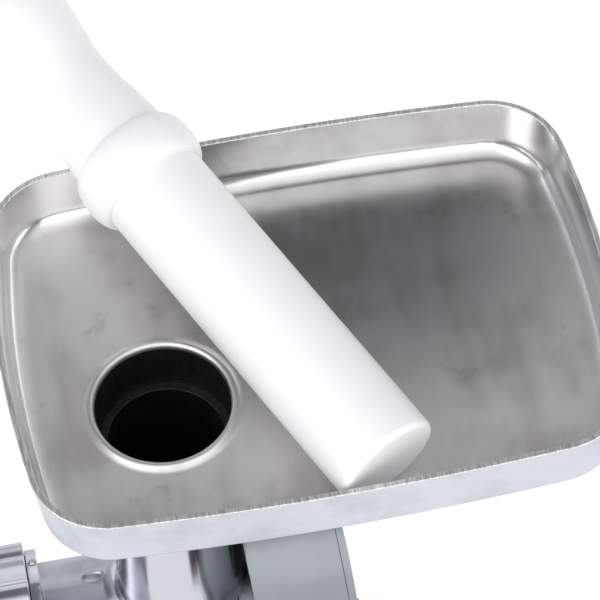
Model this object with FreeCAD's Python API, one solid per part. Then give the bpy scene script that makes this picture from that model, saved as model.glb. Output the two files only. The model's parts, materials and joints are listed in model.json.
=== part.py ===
import FreeCAD, Part
import math
import os

# Electric meat grinder, size 22 head on a cast aluminium tower.
# Millimetres, +Z up.  Origin: centre of the four feet, on the floor.
# The barrel axis lies in the plane y = 0 and the mouth faces -X.

# ---------------------------------------------------------------- sizes
# stand
foot_radius = 14.0
foot_height = 12.0
foot_pitch_x = 112.0
foot_pitch_y = 140.0
foot_screw_radius = 2.9
base_length = 158.0
base_width = 180.0
base_corner = 8.0
plate_thickness = 3.0

# body casting (the tower)
tower_below_tray = 25.0
tower_depth = 51.18
tower_behind_seat = 11.83
tower_shoulder = 45.0
wall = 4.0
front_lean = 0.065
rear_lean = 0.066
jaw_height = 106.0
jaw_rise = 14.0
jaw_lean = 6.0
jaw_round = 24.0
neck_round = 14.0
crown_round = 12.0
cover_thickness = 4.0
channel_gap = 3.0

# head
throat_x = -24.0
axis_height = 200.0
tower_behind_throat = 27.0
barrel_radius = 43.0
bore_radius = 29.0
mouth_x = throat_x - 110.0
thread_radius = 48.0
thread_length = 28.0
collar_radius = 51.0
collar_length = 6.0
throat_radius = 34.5
throat_wall = 4.5
neck_step = 6.5
throat_blend = 9.0
throat_below_floor = 31.0
throat_shoulder = 3.2
throat_shoulder_height = 8.0
shank_radius = 24.0
shank_length = 9.0

# cutting set
plate_radius = 41.0
plate_depth = 9.0
plate_hole_radius = 2.25
plate_hole_pitch = 6.2
plate_rim = 4.5
knife_radius = 38.5
knife_depth = 9.0
knife_square = 15.0
stud_radius = 6.0

# ring nut
nut_radius = 57.0
nut_root = 53.0
nut_lip = 6.0
nut_mouth = 36.0
nut_lobes = 8

# auger
flight_radius = 27.6
flight_thickness = 4.0
flight_pitch = 30.0
core_radius = 11.0
journal_radius = 12.0
tang_square = 15.0
tang_length = 11.0

# tray
tray_length = 300.0
tray_width = 220.0
tray_corner = 40.0
tray_bow_long = 3.8
tray_bow_short = 4.8
tray_draft = 4.0
tray_rim = 3.2
tray_depth = 37.0
tray_floor = 4.0
tray_fillet = 11.0
tray_offset_x = 77.4
tray_offset_y = 22.0
rim_above_axis = 244.0
tray_lip_height = 2.0
tray_lip_width = 4.6
collar_wall = 3.2
collar_drop = 46.0

# pusher
pusher_play = 2.4
pusher_ring_swell = 5.7
pusher_ring_length = 27.0
pusher_body_length = 190.5
pusher_handle_length = 112.0
pusher_waist_cut = 4.0
pusher_head_swell = 1.4
pusher_turn = 117.2
pusher_tip_x = 24.0
pusher_tip_y = -96.8

# drive train
module_fast = 1.5
module_slow = 2.0
motor_teeth = 14
wheel_teeth = 66
lay_teeth = 15
output_teeth = 59
gear_gap = 1.0
backlash = 0.30
slow_width = 12.0
fast_width = 8.0
gearbox_plate = 7.0
output_radius = 11.0
lay_radius = 6.0
motor_shaft_radius = 6.0

# motor
stator_radius = 44.0
stator_bore = 26.0
stator_length = 38.0
bell_length = 8.0
fan_radius = 37.0
fan_length = 8.0
air_gap = 0.6

# controls, on the side wall at -Y
rocker_height = 24.0
rocker_width = 14.0
rocker_centre_z = 252.0
rocker_spacing = 44.0
reset_radius = 5.0
reset_z = 196.0

# clearances
fit_gap = 0.05
slip_gap = 0.1
free_gap = 0.4
weld = 0.2
rest_gap = 4.7

# heights and radii that follow from the sizes above
rim_z = axis_height + rim_above_axis
tray_bottom = rim_z - tray_depth
floor_top = tray_bottom + tray_floor
tower_top = tray_bottom - tower_below_tray
throat_top = floor_top - throat_below_floor
throat_bore = throat_radius - throat_wall
neck_bore = throat_bore - neck_step
tray_hole = throat_radius + slip_gap
pusher_radius = throat_bore - pusher_play
pusher_ring_radius = pusher_radius + pusher_ring_swell
pusher_waist = pusher_radius - pusher_waist_cut
pusher_head = pusher_radius + pusher_head_swell


# ------------------------------------------------------------- helpers
def vec(x, y, z):
    return FreeCAD.Vector(x, y, z)


axis_x = vec(1, 0, 0)
axis_y = vec(0, 1, 0)
axis_z = vec(0, 0, 1)


def rod(radius, length, at, along):
    return Part.makeCylinder(radius, length, at, along)


def tube(outer, inner, length, at, along):
    return rod(outer, length, at, along).cut(rod(inner, length, at, along))


def rod_x(radius, x0, x1, y, z):
    return rod(radius, x1 - x0, vec(x0, y, z), axis_x)


def tube_x(outer, inner, x0, x1, y, z):
    return tube(outer, inner, x1 - x0, vec(x0, y, z), axis_x)


def rod_z(radius, x, y, z0, z1):
    return rod(radius, z1 - z0, vec(x, y, z0), axis_z)


def block(x0, x1, y0, y1, z0, z1):
    return Part.makeBox(x1 - x0, y1 - y0, z1 - z0, vec(x0, y0, z0))


def join(shapes):
    whole = shapes[0]
    for shape in shapes[1:]:
        whole = whole.fuse(shape)
    return whole.removeSplitter()


def rounded(points, place):
    """Closed wire through (u, v, corner radius) points; place turns u, v into a vector."""
    flat = [FreeCAD.Vector(u, v, 0) for u, v, radius in points]
    count = len(points)
    spans = []
    for i in range(count):
        here = flat[i]
        back = flat[i - 1].sub(here).normalize()
        ahead = flat[(i + 1) % count].sub(here).normalize()
        radius = points[i][2]
        half = math.acos(max(-1.0, min(1.0, back.dot(ahead)))) / 2
        trim = radius / math.tan(half)
        bisector = back.add(ahead).normalize()
        middle = here.add(bisector * (radius / math.sin(half) - radius))
        spans.append((here.add(back * trim), middle, here.add(ahead * trim), radius))
    edges = []
    for i in range(count):
        start, middle, end, radius = spans[i]
        if radius > 0:
            edges.append(Part.Arc(place(start), place(middle), place(end)).toShape())
        edges.append(Part.LineSegment(place(end), place(spans[(i + 1) % count][0])).toShape())
    return Part.Wire(edges)


def in_xz(point):
    return vec(point.x, 0, point.y)


def in_yz(point):
    return vec(0, point.x, point.y)


def in_xy(point):
    return vec(point.x, point.y, 0)


def slab(points, place, start, depth, along):
    face = Part.Face(rounded(points, place))
    face.translate(along * start)
    return face.extrude(along * depth)


def turned(points, at, along):
    """Solid of revolution from (distance along, radius) points about a line."""
    outline = [vec(r, 0, s) for s, r in points]
    face = Part.Face(Part.makePolygon(outline + outline[:1]))
    solid = face.revolve(vec(0, 0, 0), axis_z, 360)
    return placed(solid, at, along)


def placed(shape, at, along):
    shape.Placement = FreeCAD.Placement(at, FreeCAD.Rotation(axis_z, along))
    return shape


def save(name, shape):
    shape.exportStep("parts/" + name + ".step")


os.makedirs("parts", exist_ok=True)


# ---------------------------------------------------------- base and feet
base_z = foot_height
body_z = foot_height + plate_thickness
foot_spots = [(sx * foot_pitch_x / 2, sy * foot_pitch_y / 2) for sx in (-1, 1) for sy in (-1, 1)]
body_front = -base_length / 2
body_rear = base_length / 2
half_width = base_width / 2

base_outline = [
    (body_front, -half_width, base_corner), (body_rear, -half_width, base_corner),
    (body_rear, half_width, base_corner), (body_front, half_width, base_corner)]
base_plate = slab(base_outline, in_xy, base_z, plate_thickness, axis_z)
slot_half = 22.0
slot_radius = 2.0
for i in range(-3, 4):
    slot = [(i * 12 - slot_radius, -slot_half, 1.9), (i * 12 + slot_radius, -slot_half, 1.9),
            (i * 12 + slot_radius, slot_half, 1.9), (i * 12 - slot_radius, slot_half, 1.9)]
    base_plate = base_plate.cut(slab(slot, in_xy, base_z - 1, plate_thickness + 2, axis_z))

feet = []
foot_screws = []
screw_head = 5.2
for x, y in foot_spots:
    base_plate = base_plate.cut(rod_z(foot_screw_radius + free_gap, x, y, base_z - 1, body_z + 1))
    foot = turned([(0, 0), (0, foot_radius - 3), (3, foot_radius), (foot_height, foot_radius - 2),
                   (foot_height, 0)], vec(x, y, 0), axis_z)
    foot = foot.cut(rod_z(foot_screw_radius + slip_gap, x, y, -1, foot_height + 1))
    foot = foot.cut(rod_z(screw_head + 1, x, y, -1, 5))
    feet.append(foot)
    screw = rod_z(foot_screw_radius, x, y, 5, body_z + 6)
    screw = screw.fuse(rod_z(screw_head, x, y, 2.0, 5))
    nut = rod_z(screw_head + 1, x, y, body_z, body_z + 5).cut(
        rod_z(foot_screw_radius, x, y, body_z - 1, body_z + 6))
    foot_screws.append(screw.fuse(nut).removeSplitter())

# four M6 rivet nuts for bolting the machine to a bench from below
bench_pitch_x = 70.0
bench_pitch_y = 148.0
bench_thread_radius = 3.0
bench_insert_radius = 4.5
inserts = []
for x in (-bench_pitch_x / 2, bench_pitch_x / 2):
    for y in (-bench_pitch_y / 2, bench_pitch_y / 2):
        base_plate = base_plate.cut(rod_z(bench_insert_radius, x, y, base_z - 1, body_z + 1))
        insert = rod_z(bench_insert_radius, x, y, base_z, body_z + 9)
        insert = insert.fuse(rod_z(bench_insert_radius + 2, x, y, body_z, body_z + 3))
        inserts.append(insert.cut(rod_z(bench_thread_radius, x, y, base_z - 1, body_z + 10)).removeSplitter())
save("bench_inserts", Part.makeCompound(inserts))
save("rubber_feet", Part.makeCompound(feet))
save("foot_screws", Part.makeCompound(foot_screws))


# ------------------------------------------------------------ body shell
seat_x = throat_x + tower_behind_throat
jaw_z = body_z + jaw_height


def front_at(z):
    return seat_x + tower_behind_seat + front_lean * (axis_height - z)


def rear_at(z):
    return front_at(axis_height) + tower_depth + rear_lean * (axis_height - z)


front_top = front_at(tower_top)
rear_top = rear_at(tower_top)


def side_profile(inset):
    neck_z = jaw_z + jaw_rise
    floor_z = body_z - (1 if inset else 0)
    jaw_x = body_front + jaw_lean
    return [
        (body_front + inset, floor_z, 0),
        (jaw_x + inset, jaw_z - inset, jaw_round - inset),
        (front_at(neck_z) + inset, neck_z - inset, neck_round + inset),
        (front_top + inset, tower_top - inset, crown_round - inset),
        (rear_top - inset, tower_top - inset, crown_round - inset),
        (rear_at(floor_z) - inset, floor_z, 0)]


def shell_form(inset):
    depth = base_width - 2 * inset
    side = slab(side_profile(inset), in_xz, -depth / 2, depth, axis_y)
    floor_z = body_z - (1 if inset else 0)
    half = half_width - inset
    top = tower_top - inset
    arch = [(-half, floor_z, 0), (half, floor_z, 0),
            (half, top, tower_shoulder - inset), (-half, top, tower_shoulder - inset)]
    return side.common(slab(arch, in_yz, body_front - 20, base_length + 60, axis_x))


outer = shell_form(0)
cavity = shell_form(wall)

# the throat stands in a scallop down the tower's front
tray_collar_radius = tray_hole + collar_wall
channel_radius = tray_collar_radius + channel_gap
channel_floor = axis_height + collar_radius + 2
channel = rod_z(channel_radius, throat_x, 0, channel_floor, tower_top + 20)
channel_skin = rod_z(channel_radius + wall, throat_x, 0, channel_floor - wall, tower_top + 20)

# rear cover: the last few millimetres, cut off along the leaning back
lean_angle = math.degrees(math.atan(rear_lean))
cutter = block(-cover_thickness, 60, -150, 150, -60, 460)
cutter.rotate(vec(0, 0, 0), axis_y, -lean_angle)
cutter.translate(vec(rear_at(0), 0, 0))
rear_slab = outer.common(cutter)
body = outer.cut(cutter).cut(channel)
body = body.cut(cavity.cut(channel_skin))

# bosses for the cover screws, square to the leaning back
cover_screw_radius = 2.0
cover_screw_y = half_width - wall - 5.0
cover_screw_heights = [body_z + 16, axis_height, tower_top - 64]
back_normal = vec(1, 0, rear_lean).normalize()
cover_spots = [(y, z) for y in (-cover_screw_y, cover_screw_y) for z in cover_screw_heights]
inside = outer.cut(cutter)
cover_screws = []
for y, z in cover_spots:
    face_point = vec(rear_at(z), y, z)
    boss_root = face_point.sub(back_normal * (cover_thickness + 14))
    boss = rod(6.0, 14, boss_root, back_normal).common(inside)
    body = body.fuse(boss)
    hole_root = face_point.sub(back_normal * (cover_thickness + 10))
    body = body.cut(rod(cover_screw_radius, 12, hole_root, back_normal))
    rear_slab = rear_slab.cut(rod(cover_screw_radius + slip_gap, 30, hole_root, back_normal))
    screw = rod(cover_screw_radius, cover_thickness + 10, hole_root, back_normal)
    head = turned([(0, 0), (0, 4.0), (1.2, 4.0), (2.2, 2.6), (2.2, 0)], face_point, back_normal)
    cover_screws.append(screw.fuse(head).removeSplitter())

# air slots: two rows in the cover, one row low in each side wall
slot_width = 4.0
cover_slots = [(row, i) for row in (0, 1) for i in range(-4, 5)]
for row, i in cover_slots:
    z0 = (58, 262)[row]
    z1 = z0 + (52, 44)[row]
    points = [(i * 11 - slot_width / 2, z0, 1.9), (i * 11 + slot_width / 2, z0, 1.9),
              (i * 11 + slot_width / 2, z1, 1.9), (i * 11 - slot_width / 2, z1, 1.9)]
    rear_slab = rear_slab.cut(slab(points, in_yz, rear_top - 20, 80, axis_x))
for i in range(7):
    x = body_front + 22 + i * 11
    points = [(x - slot_width / 2, 42, 1.9), (x + slot_width / 2, 42, 1.9),
              (x + slot_width / 2, 92, 1.9), (x - slot_width / 2, 92, 1.9)]
    body = body.cut(slab(points, in_xz, -half_width - 5, base_width + 10, axis_y))


# --------------------------------------------- where the pieces stand along X
nose_x = seat_x + shank_length + 1.0
gearbox_front = throat_x + 48.0
slow_x0 = gearbox_front + gearbox_plate + gear_gap
slow_x1 = slow_x0 + slow_width
fast_x0 = slow_x1 + gear_gap
fast_x1 = fast_x0 + fast_width
gearbox_rear = fast_x1 + gear_gap
fast_distance = module_fast * (motor_teeth + wheel_teeth) / 2
slow_distance = module_slow * (lay_teeth + output_teeth) / 2
lay_height = axis_height - slow_distance
motor_z = lay_height - fast_distance

# head socket: flange outside the front wall, tube through it
flange_radius = 46.0
socket_radius = 28.0
socket_bore = shank_radius + fit_gap
socket_end = gearbox_front - 2.0
front_wall_x = front_at(axis_height)
socket = rod_x(flange_radius, seat_x + free_gap, front_wall_x + 4, 0, axis_height).cut(outer)
socket = socket.fuse(rod_x(socket_radius, seat_x + free_gap, socket_end, 0, axis_height))
socket = socket.cut(rod_x(socket_bore, seat_x - 5, socket_end + 5, 0, axis_height))
body = body.cut(rod_x(socket_radius, seat_x - 20, gearbox_front, 0, axis_height))
lock_x = throat_x + 33.0
lock_radius = 4.0
lock_length = half_width + 30
socket = socket.cut(rod(lock_radius + fit_gap, flange_radius + 5,
                        vec(lock_x, -flange_radius - 5, axis_height), axis_y))
flange_bolts = []
for turn in (45, 135, 225, 315):
    y = 37.0 * math.cos(math.radians(turn))
    z = axis_height + 37.0 * math.sin(math.radians(turn))
    x0 = seat_x + free_gap
    bolt = rod_x(2.5, x0, front_at(z) + wall + 2, y, z)
    socket = socket.cut(rod_x(2.5, x0 - 1, front_at(z) + 20, y, z))
    socket = socket.cut(rod_x(4.4, x0 - 1, x0 + 4.2, y, z))
    bolt = bolt.fuse(rod_x(4.3, x0 + 0.2, x0 + 4.2, y, z))
    bolt = bolt.cut(turned([(0, 0), (0, 2.3), (2.4, 2.3), (2.4, 0)], vec(x0 + 0.1, y, z), axis_x))
    body = body.cut(rod_x(2.5, x0 - 1, front_at(z) + 20, y, z))
    flange_bolts.append(bolt.removeSplitter())
save("socket_flange", socket)
save("flange_bolts", Part.makeCompound(flange_bolts))

# posts that carry the gearbox
post_radius = 6.0
post_screw_radius = 2.2
post_screw_depth = 8.0
post_drop = 28.0
for y in (-62.0, 62.0):
    z = axis_height - post_drop
    body = body.fuse(rod_x(post_radius, front_at(z) + wall / 2, gearbox_front, y, z).common(inside))
    body = body.cut(rod_x(post_screw_radius, gearbox_front - post_screw_depth, gearbox_front + 1, y, z))


# --------------------------------------------------------------- gearbox
def plate_slab(points, x0, thickness):
    return slab(points, in_yz, x0, thickness, axis_x)


front_plate_outline = [(-58, 42, 10), (58, 42, 10), (72, 150, 12), (70, 190, 10), (34, 236, 12),
                       (-34, 236, 12), (-70, 190, 10), (-72, 150, 12)]
rear_plate_outline = [(-50, 66, 8), (50, 66, 8), (66, 146, 10), (64, 166, 10), (20, 221, 10),
                      (-20, 221, 10), (-64, 166, 10), (-66, 146, 10)]
bearing_outer = 17.0
small_bearing = 12.0
shaft_lines = [("output", axis_height, output_radius, bearing_outer),
               ("lay", lay_height, lay_radius, small_bearing)]
gearbox_end = gearbox_rear + gearbox_plate - 1.0
front_plate = plate_slab(front_plate_outline, gearbox_front, gearbox_plate)
rear_plate = plate_slab(rear_plate_outline, gearbox_rear, gearbox_end - gearbox_rear)


def ball_bearing(inner, outer_radius, x0, x1, z):
    """Both races, the shields between them and the balls, as one closed ring."""
    ring = tube_x(outer_radius, inner, x0, x1, 0, z)
    middle = (inner + outer_radius) / 2
    groove = tube_x(middle + 1.6, middle - 1.6, x0 - 1, x0 + 0.5, 0, z)
    groove = groove.fuse(tube_x(middle + 1.6, middle - 1.6, x1 - 0.5, x1 + 1, 0, z))
    return ring.cut(groove)


for name, z, shaft, outer_radius in shaft_lines:
    front_plate = front_plate.cut(rod_x(outer_radius, gearbox_front - 1, slow_x0, 0, z))
    rear_plate = rear_plate.cut(rod_x(outer_radius, gearbox_rear - 1, gearbox_end + 1, 0, z))
    bearings = [ball_bearing(shaft + fit_gap, outer_radius, gearbox_front, gearbox_front + gearbox_plate, z),
                ball_bearing(shaft + fit_gap, outer_radius, gearbox_rear, gearbox_end, z)]
    save(name + "_bearings", Part.makeCompound(bearings))
front_plate = front_plate.cut(rod_x(motor_shaft_radius + 6, gearbox_front - 1, slow_x0, 0, motor_z))

pillar_spots = [(-58.0, 150.0), (58.0, 150.0), (-42.0, 76.0), (42.0, 76.0)]
pillars = []
for y, z in pillar_spots:
    pillar = rod_x(5.0, gearbox_front + gearbox_plate, gearbox_rear, y, z)
    bolt = rod_x(2.5, gearbox_front, gearbox_end, y, z)
    front_plate = front_plate.cut(rod_x(2.5, gearbox_front - 1, slow_x0, y, z))
    rear_plate = rear_plate.cut(rod_x(2.5, gearbox_rear - 1, gearbox_end + 1, y, z))
    pillars.append(pillar.fuse(bolt).removeSplitter())
save("gearbox_front_plate", front_plate)
save("gearbox_rear_plate", rear_plate)
save("gearbox_pillars", Part.makeCompound(pillars))

seal = tube_x(shank_radius, 14.0 + fit_gap, socket_end - 5, socket_end, 0, axis_height)
save("shaft_seal", seal)


def involute(angle):
    return math.tan(angle) - angle


def gear(teeth, module, x0, width, z, first_tooth):
    """Spur gear about X, 20 degree involute flanks, thinned for backlash."""
    pressure = math.radians(20)
    pitch = teeth * module / 2
    base = pitch * math.cos(pressure)
    root = pitch - 1.25 * module
    tip = pitch + module
    half_pitch = math.pi / (2 * teeth) - backlash / (4 * pitch)
    flank = [max(base, root) + (tip - max(base, root)) * i / 4 for i in range(5)]
    offsets = [(r, half_pitch + involute(pressure) - involute(math.acos(min(1, base / r)))) for r in flank]
    if root < base:
        offsets = [(root, offsets[0][1])] + offsets
    points = []
    for tooth in range(teeth):
        centre = first_tooth + tooth * 2 * math.pi / teeth
        points += [(r, centre - half) for r, half in offsets]
        points += [(r, centre + half) for r, half in reversed(offsets)]
    loop = [vec(x0, r * math.cos(a), z + r * math.sin(a)) for r, a in points]
    return Part.Face(Part.makePolygon(loop + loop[:1])).extrude(axis_x * width)


up = math.pi / 2
output_gear = gear(output_teeth, module_slow, slow_x0, slow_width, axis_height, -up + math.pi / output_teeth)
output_gear = output_gear.cut(rod_x(output_radius, slow_x0 - 1, slow_x1 + 1, 0, axis_height))
web_recess = tube_x(46.0, 20.0, slow_x0 - 1, slow_x0 + 3, 0, axis_height)
output_gear = output_gear.cut(web_recess)
save("output_gear", output_gear)
lay_wheel = gear(wheel_teeth, module_fast, fast_x0, fast_width, lay_height, -up + math.pi / wheel_teeth)
lay_wheel = lay_wheel.cut(rod_x(lay_radius, fast_x0 - 1, fast_x1 + 1, 0, lay_height))
save("layshaft_wheel", lay_wheel)
layshaft = rod_x(lay_radius, gearbox_front, gearbox_end, 0, lay_height)
layshaft = layshaft.fuse(gear(lay_teeth, module_slow, slow_x0, slow_width, lay_height, up))
save("layshaft_pinion", layshaft.removeSplitter())

# output shaft with the square socket for the auger's tang
nose_radius = 14.0
output_shaft = rod_x(output_radius, gearbox_front - free_gap - weld, gearbox_end, 0, axis_height)
output_shaft = output_shaft.fuse(rod_x(nose_radius, nose_x, gearbox_front - free_gap, 0, axis_height))
socket_half = tang_square / 2 + 0.15
output_shaft = output_shaft.cut(block(nose_x - 1, nose_x + tang_length, -socket_half, socket_half,
                                      axis_height - socket_half, axis_height + socket_half))
save("output_shaft", output_shaft.removeSplitter())


# ----------------------------------------------------------------- motor
bell_radius = stator_radius + 5.0
winding_length = 9.0
rear_bell_x1 = gearbox_front - 3.0
rear_bell_x0 = rear_bell_x1 - bell_length
stator_x1 = rear_bell_x0 - winding_length - 2.0
stator_x0 = stator_x1 - stator_length
front_bell_x1 = stator_x0 - winding_length - 2.0
front_bell_x0 = front_bell_x1 - bell_length
fan_x1 = front_bell_x0 - 2.5
fan_x0 = fan_x1 - fan_length
motor_bearing = 13.0

stator = tube_x(stator_radius, stator_bore, stator_x0, stator_x1, 0, motor_z)
for k in range(24):
    angle = math.radians(k * 15)
    slot_y = (stator_bore + 6) * math.cos(angle)
    slot_z = motor_z + (stator_bore + 6) * math.sin(angle)
    stator = stator.cut(rod_x(2.6, stator_x0 - 1, stator_x1 + 1, slot_y, slot_z))
save("motor_stator", stator)
winding = []
for x0 in (stator_x0 - winding_length, stator_x1):
    ring = tube_x(stator_bore + 12, stator_bore + 2, x0, x0 + winding_length, 0, motor_z)
    winding.append(ring)
save("stator_windings", Part.makeCompound(winding))

tie_circle = stator_radius + 2.4
tie_spots = [(tie_circle * math.cos(math.radians(a)), motor_z + tie_circle * math.sin(math.radians(a)))
             for a in (45, 135, 225, 315)]
bells = []
for x0, cup in ((front_bell_x0, 1), (rear_bell_x0, -1)):
    bell = rod_x(bell_radius, x0, x0 + bell_length, 0, motor_z)
    bell = bell.cut(rod_x(motor_bearing, x0 - 1, x0 + bell_length + 1, 0, motor_z))
    for k in range(6):
        angle = math.radians(k * 60 + 30)
        bell = bell.cut(rod_x(7.0, x0 - 1, x0 + bell_length + 1,
                              28 * math.cos(angle), motor_z + 28 * math.sin(angle)))
    for y, z in tie_spots:
        bell = bell.cut(rod_x(1.8, x0 - 1, x0 + bell_length + 1, y, z))
    bells.append(bell)
save("motor_front_bell", bells[0])
save("motor_rear_bell", bells[1])
ties = [rod_x(1.8, front_bell_x0 - 1.5, rear_bell_x1 + 1.5, y, z) for y, z in tie_spots]
save("motor_tie_bolts", Part.makeCompound(ties))
motor_bearings = [ball_bearing(motor_shaft_radius + fit_gap, motor_bearing, x0, x0 + bell_length, motor_z)
                  for x0 in (front_bell_x0, rear_bell_x0)]
save("motor_bearings", Part.makeCompound(motor_bearings))
motor_shaft = rod_x(motor_shaft_radius, fan_x0, fast_x1, 0, motor_z)
motor_shaft = motor_shaft.fuse(gear(motor_teeth, module_fast, fast_x0, fast_width, motor_z, up))
save("motor_shaft", motor_shaft.removeSplitter())
rotor = tube_x(stator_bore - air_gap, motor_shaft_radius, stator_x0, stator_x1, 0, motor_z)
rotor = rotor.fuse(tube_x(stator_bore - 5, motor_shaft_radius, stator_x0 - 4, stator_x1 + 4, 0, motor_z))
save("rotor_core", rotor.removeSplitter())
fan = tube_x(11.0, motor_shaft_radius, fan_x0, fan_x1, 0, motor_z)
fan = fan.fuse(tube_x(fan_radius - 4, 10.0, fan_x1 - 1.6, fan_x1, 0, motor_z))
for k in range(9):
    blade = block(fan_x0, fan_x1, -0.9, 0.9, 10.5, fan_radius)
    blade.rotate(vec(0, 0, 0), axis_x, k * 40)
    blade.translate(vec(0, 0, motor_z))
    fan = fan.fuse(blade)
save("cooling_fan", fan.removeSplitter())

cradle = block(stator_x0 + 6, stator_x1 - 6, -26, 26, body_z, motor_z - 24)
cradle = cradle.cut(rod_x(stator_radius, stator_x0, stator_x1, 0, motor_z))
save("motor_cradle", cradle)


# ------------------------------------------------------- electrical parts
capacitor_x = throat_x + 58.0
capacitor_y = 50.0
capacitor = rod_z(16.0, capacitor_x, capacitor_y, 272, 328)
capacitor = capacitor.fuse(rod_z(9.0, capacitor_x, capacitor_y, 328, 333))
save("capacitor", capacitor.removeSplitter())
clip = rod_z(17.6, capacitor_x, capacitor_y, 294, 306)
clip = clip.fuse(block(throat_x + 28, capacitor_x, capacitor_y - 7, capacitor_y + 7, 294, 306))
clip = clip.cut(rod_z(16.0, capacitor_x, capacitor_y, 290, 310)).cut(body).common(cavity)
save("capacitor_clip", clip)
terminal = block(throat_x + 28, throat_x + 56, -58, -18, 318, 334)
for i in range(4):
    terminal = terminal.cut(rod_z(2.6, throat_x + 50, -53 + i * 10, 326, 336))
terminal = terminal.cut(channel_skin).cut(body).common(cavity)
save("terminal_block", terminal)

# mains inlet in the wall at +Y: shroud, three blades, two screws
inlet_x = 34.0
inlet_z = 60.0
inlet_flange = 2.5
inlet_half_width = 12.0
inlet_half_height = 8.0
inlet_wall = 2.0
inlet_depth = 13.0
outer_w = inlet_half_width + inlet_wall
outer_h = inlet_half_height + inlet_wall
shroud = block(inlet_x - 25, inlet_x + 25, half_width, half_width + inlet_flange,
               inlet_z - 11.5, inlet_z + 11.5)
shroud = shroud.fuse(block(inlet_x - outer_w, inlet_x + outer_w, half_width - inlet_depth - 3, half_width,
                           inlet_z - outer_h, inlet_z + outer_h))
shroud = shroud.cut(block(inlet_x - inlet_half_width, inlet_x + inlet_half_width,
                          half_width - inlet_depth, half_width + 5,
                          inlet_z - inlet_half_height, inlet_z + inlet_half_height))
body = body.cut(block(inlet_x - outer_w, inlet_x + outer_w, half_width - 8, half_width + 1,
                      inlet_z - outer_h, inlet_z + outer_h))
blades = []
for dx, dz in ((-7, -2), (7, -2), (0, 2.5)):
    blade = block(inlet_x + dx - 1, inlet_x + dx + 1, half_width - 24, half_width - 1.5,
                  inlet_z + dz - 2, inlet_z + dz + 2)
    shroud = shroud.cut(blade)
    blades.append(blade)
inlet_screws = []
for dx in (-20, 20):
    hole = rod(1.75, 14, vec(inlet_x + dx, half_width - 9, inlet_z), axis_y)
    shroud = shroud.cut(hole)
    body = body.cut(hole)
    screw = rod(1.75, 11.5, vec(inlet_x + dx, half_width - 9, inlet_z), axis_y)
    head = turned([(0, 0), (0, 3.2), (0.8, 3.2), (1.8, 2.0), (1.8, 0)],
                  vec(inlet_x + dx, half_width + 2.5, inlet_z), axis_y)
    inlet_screws.append(screw.fuse(head).removeSplitter())
save("inlet_shroud", shroud.removeSplitter())
save("inlet_blades", Part.makeCompound(blades))
save("inlet_screws", Part.makeCompound(inlet_screws))

# two rocker switches and a reset button in the wall at -Y
control_x = 37.0
side_y = -half_width
rocker_tilt = 8.0
rocker_names = [("power", rocker_centre_z + rocker_spacing / 2, -rocker_tilt),
                ("reverse", rocker_centre_z - rocker_spacing / 2, 0.0)]
pin_radius = 1.2
for name, z, tilt in rocker_names:
    hw = rocker_width / 2
    hh = rocker_height / 2
    frame = block(control_x - hw - 4, control_x + hw + 4, side_y - 2, side_y, z - hh - 4, z + hh + 4)
    frame = frame.fuse(block(control_x - hw - 1.5, control_x + hw + 1.5, side_y, side_y + 18,
                             z - hh - 1.5, z + hh + 1.5))
    frame = frame.cut(block(control_x - hw, control_x + hw, side_y - 5, side_y + 12, z - hh, z + hh))
    frame = frame.cut(rod_x(pin_radius + fit_gap, control_x - hw - 1.5, control_x + hw + 1.5, side_y + 3, z))
    body = body.cut(block(control_x - hw - 1.5, control_x + hw + 1.5, side_y - 1, side_y + wall + 1,
                          z - hh - 1.5, z + hh + 1.5))
    save(name + "_switch_frame", frame.removeSplitter())
    pad = [vec(0, 2.5, -8), vec(0, -6.0, -10.6), vec(0, -4.6, 0), vec(0, -6.0, 10.6), vec(0, 2.5, 8)]
    rocker = Part.Face(Part.makePolygon(pad + pad[:1])).extrude(axis_x * (rocker_width - 2 * free_gap))
    rocker.translate(vec(-hw + free_gap, 0, 0))
    rocker = rocker.fuse(rod_x(pin_radius, -hw - 1.2, hw + 1.2, 0, 0))
    rocker.rotate(vec(0, 0, 0), axis_x, tilt)
    rocker.translate(vec(control_x, side_y + 3, z))
    save(name + "_rocker", rocker.removeSplitter())

breaker = block(control_x - 9, control_x + 9, side_y + wall, side_y + wall + 14, reset_z - 11, reset_z + 11)
breaker = breaker.fuse(tube(reset_radius + 2.5, reset_radius + fit_gap, 3 + wall,
                            vec(control_x, side_y - 3, reset_z), axis_y))
breaker = breaker.cut(rod(reset_radius + fit_gap, 12 + wall, vec(control_x, side_y - 5, reset_z), axis_y))
body = body.cut(rod(reset_radius + 2.5, 20, vec(control_x, side_y - 10, reset_z), axis_y))
save("overload_breaker", breaker.removeSplitter())
button = rod(reset_radius, 9.0, vec(control_x, side_y - 6, reset_z), axis_y)
save("reset_button", button)

save("body_casting", body.removeSplitter())
save("rear_cover", rear_slab.removeSplitter())
save("cover_screws", Part.makeCompound(cover_screws))
save("base_plate", base_plate)


# ------------------------------------------------------------------ head
plate_x0 = mouth_x - 2.0 + free_gap
plate_x1 = plate_x0 + plate_depth
knife_x0 = plate_x1 + free_gap / 2
knife_x1 = knife_x0 + knife_depth
chamber_x1 = knife_x1 + 1.5
bore_x0 = chamber_x1 + 10.0
back_wall = seat_x - 8.0

shank_end = seat_x + shank_length
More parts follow.
